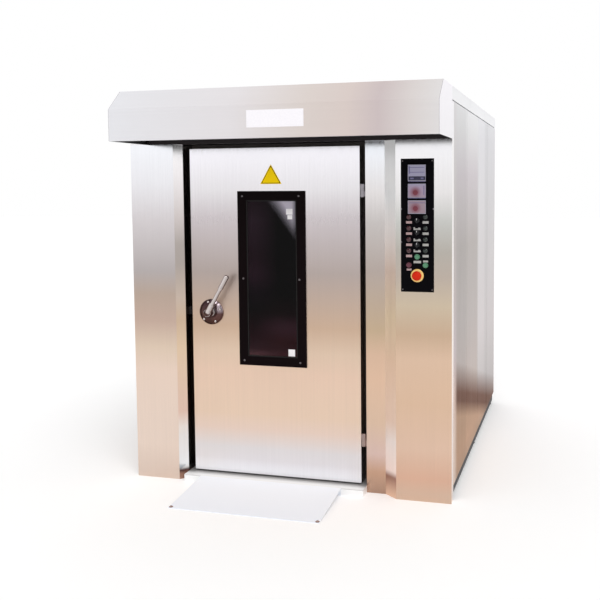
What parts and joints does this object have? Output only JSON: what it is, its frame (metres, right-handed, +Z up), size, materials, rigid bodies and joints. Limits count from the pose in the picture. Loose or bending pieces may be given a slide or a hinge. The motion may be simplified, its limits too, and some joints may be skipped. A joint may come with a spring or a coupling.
{
  "type": "rotating rack oven",
  "caption": "Floor-standing rotating rack oven with a steam hood, a window door with lever latch, a tall control post, a turntable with rack carrier, a fan compartment and an entry ramp.",
  "frame": {"origin": "on the floor, in the middle of the front face, at the underside of the door sill", "axes": "+X to the right as seen from the front, +Y from the front face to the back wall, +Z up"},
  "size_m": [1.85, 2.6403, 2.27],
  "materials": {
    "stainless_front": "brushed",
    "stainless_inner": "satin",
    "panel_sheet": "satin",
    "steel_frame": "matte",
    "galvanised": "satin",
    "mineral_wool": "matte",
    "cast_iron": "rough",
    "bronze": "satin",
    "motor_paint": "gloss",
    "gear_steel": "machined",
    "black_frame": "satin",
    "black_plate": "satin",
    "black_plastic": "matte",
    "screen": "gloss",
    "lamp_lens": "gloss",
    "red_plastic": "gloss",
    "green_plastic": "gloss",
    "lamp_glass": "clear",
    "oven_glass": "clear",
    "gasket_rubber": "matte",
    "chrome": "polished",
    "zinc": "satin",
    "control_parts": "matte",
    "sign_white": "satin"
  },
  "bodies": {
    "oven_body": {"base_frame": "steel_frame", "levelling_feet": "black_plastic", "floor_pan": "stainless_inner", "left_post": "stainless_front", "right_post": "stainless_front", "hinge_jamb": "stainless_front", "door_frame": "stainless_inner", "front_header": "stainless_front", "hood_front": "stainless_front", "hood_ends": "stainless_front", "hood_filters": "stainless_inner", "sign_plate": "sign_white", "roof_panels": "panel_sheet", "side_panels": "panel_sheet", "rear_panels": "panel_sheet", "chamber_side_walls": "stainless_inner", "chamber_rear_wall": "stainless_inner", "chamber_ceiling": "stainless_inner", "insulation": "mineral_wool", "oven_lamp": "lamp_glass", "steam_cascade": "cast_iron", "heater_bank": "steel_frame", "fan_inlet": "galvanised", "fan_motor": "motor_paint", "exhaust_ducts": "galvanised", "gearmotor": "motor_paint", "top_bearing": "cast_iron", "pivot_bush": "bronze", "electric_panel": "control_parts", "control_plate": "black_plate", "display_module": "screen", "signal_lamps": "lamp_lens", "hinge_pins": "zinc", "strike": "zinc", "ramp": "stainless_inner"},
    "door": {"door_skin": "stainless_front", "door_liner": "stainless_inner", "door_core": "mineral_wool", "window_frame": "black_frame", "window_glass": "oven_glass", "door_gasket": "gasket_rubber", "handle_rosette": "chrome", "lock_case": "zinc", "door_barrels": "zinc"},
    "lever": {"handle_lever": "chrome"},
    "latch": {"latch_bolt": "zinc"},
    "rotor": {"turntable": "stainless_inner", "rack_carrier": "stainless_inner", "main_shaft": "gear_steel"},
    "pinion": {"drive_pinion": "gear_steel"},
    "fan": {"fan_impeller": "galvanised"},
    "damper": {"damper_flap": "galvanised"},
    "selector_1": {"selector_top": "black_plastic"},
    "selector_2": {"selector_middle": "black_plastic"},
    "selector_3": {"selector_bottom": "black_plastic"},
    "start": {"start_button": "green_plastic"},
    "stop": {"stop_button": "red_plastic"},
    "light": {"light_button": "green_plastic"},
    "stop_stem": {"estop_stem": "zinc"},
    "stop_head": {"estop_head": "red_plastic"}
  },
  "joints": [
    {"name": "door_swing", "type": "hinge", "parent": "oven_body", "child": "door", "pos_m": [0.43, 0.06, 0], "axis": [0, 0, 1], "range_deg": [0, 120]},
    {"name": "lever_turn", "type": "hinge", "parent": "door", "child": "lever", "pos_m": [-0.466, 0.004, 0.977], "axis": [0, 1, 0], "range_deg": [0, 75]},
    {"name": "latch_slide", "type": "slide", "parent": "door", "child": "latch", "axis": [-1, 0, 0], "range_m": [0, 0.03]},
    {"name": "turntable_turn", "type": "hinge", "parent": "oven_body", "child": "rotor", "pos_m": [-0.085, 0.812, 0], "axis": [0, 0, 1], "continuous": true},
    {"name": "pinion_turn", "type": "hinge", "parent": "oven_body", "child": "pinion", "pos_m": [0.14, 0.812, 0], "axis": [0, 0, 1], "continuous": true},
    {"name": "fan_turn", "type": "hinge", "parent": "oven_body", "child": "fan", "pos_m": [-0.085, 1.5, 1.1], "axis": [0, 1, 0], "continuous": true},
    {"name": "damper_turn", "type": "hinge", "parent": "oven_body", "child": "damper", "pos_m": [-0.5, 1.142, 2.069], "axis": [1, 0, 0], "range_deg": [0, 90]},
    {"name": "selector_turn_1", "type": "hinge", "parent": "oven_body", "child": "selector_1", "pos_m": [0.7425, 0, 1.507], "axis": [0, 1, 0], "range_deg": [-45, 45]},
    {"name": "selector_turn_2", "type": "hinge", "parent": "oven_body", "child": "selector_2", "pos_m": [0.7425, 0, 1.443], "axis": [0, 1, 0], "range_deg": [-45, 45]},
    {"name": "selector_turn_3", "type": "hinge", "parent": "oven_body", "child": "selector_3", "pos_m": [0.7425, 0, 1.379], "axis": [0, 1, 0], "range_deg": [-45, 45]},
    {"name": "start_press", "type": "slide", "parent": "oven_body", "child": "start", "axis": [0, 1, 0], "range_m": [0, 0.003], "stiffness_N_per_m": 600, "springref_m": -0.001},
    {"name": "stop_press", "type": "slide", "parent": "oven_body", "child": "stop", "axis": [0, 1, 0], "range_m": [0, 0.003], "stiffness_N_per_m": 600, "springref_m": -0.001},
    {"name": "light_press", "type": "slide", "parent": "oven_body", "child": "light", "axis": [0, 1, 0], "range_m": [0, 0.003], "stiffness_N_per_m": 600, "springref_m": -0.001},
    {"name": "emergency_press", "type": "slide", "parent": "oven_body", "child": "stop_stem", "axis": [0, 1, 0], "range_m": [0, 0.005], "stiffness_N_per_m": 900, "springref_m": -0.001},
    {"name": "emergency_twist", "type": "hinge", "parent": "stop_stem", "child": "stop_head", "pos_m": [0.7425, 0, 1.217], "axis": [0, 1, 0], "range_deg": [0, 30], "stiffness_Nm_per_rad": 0.05}
  ],
  "couplings": [
    {"joint": "pinion_turn", "follows": "turntable_turn", "ratio": -4},
    {"joint": "latch_slide", "follows": "lever_turn", "m_per_rad": 0.0229}
  ]
}
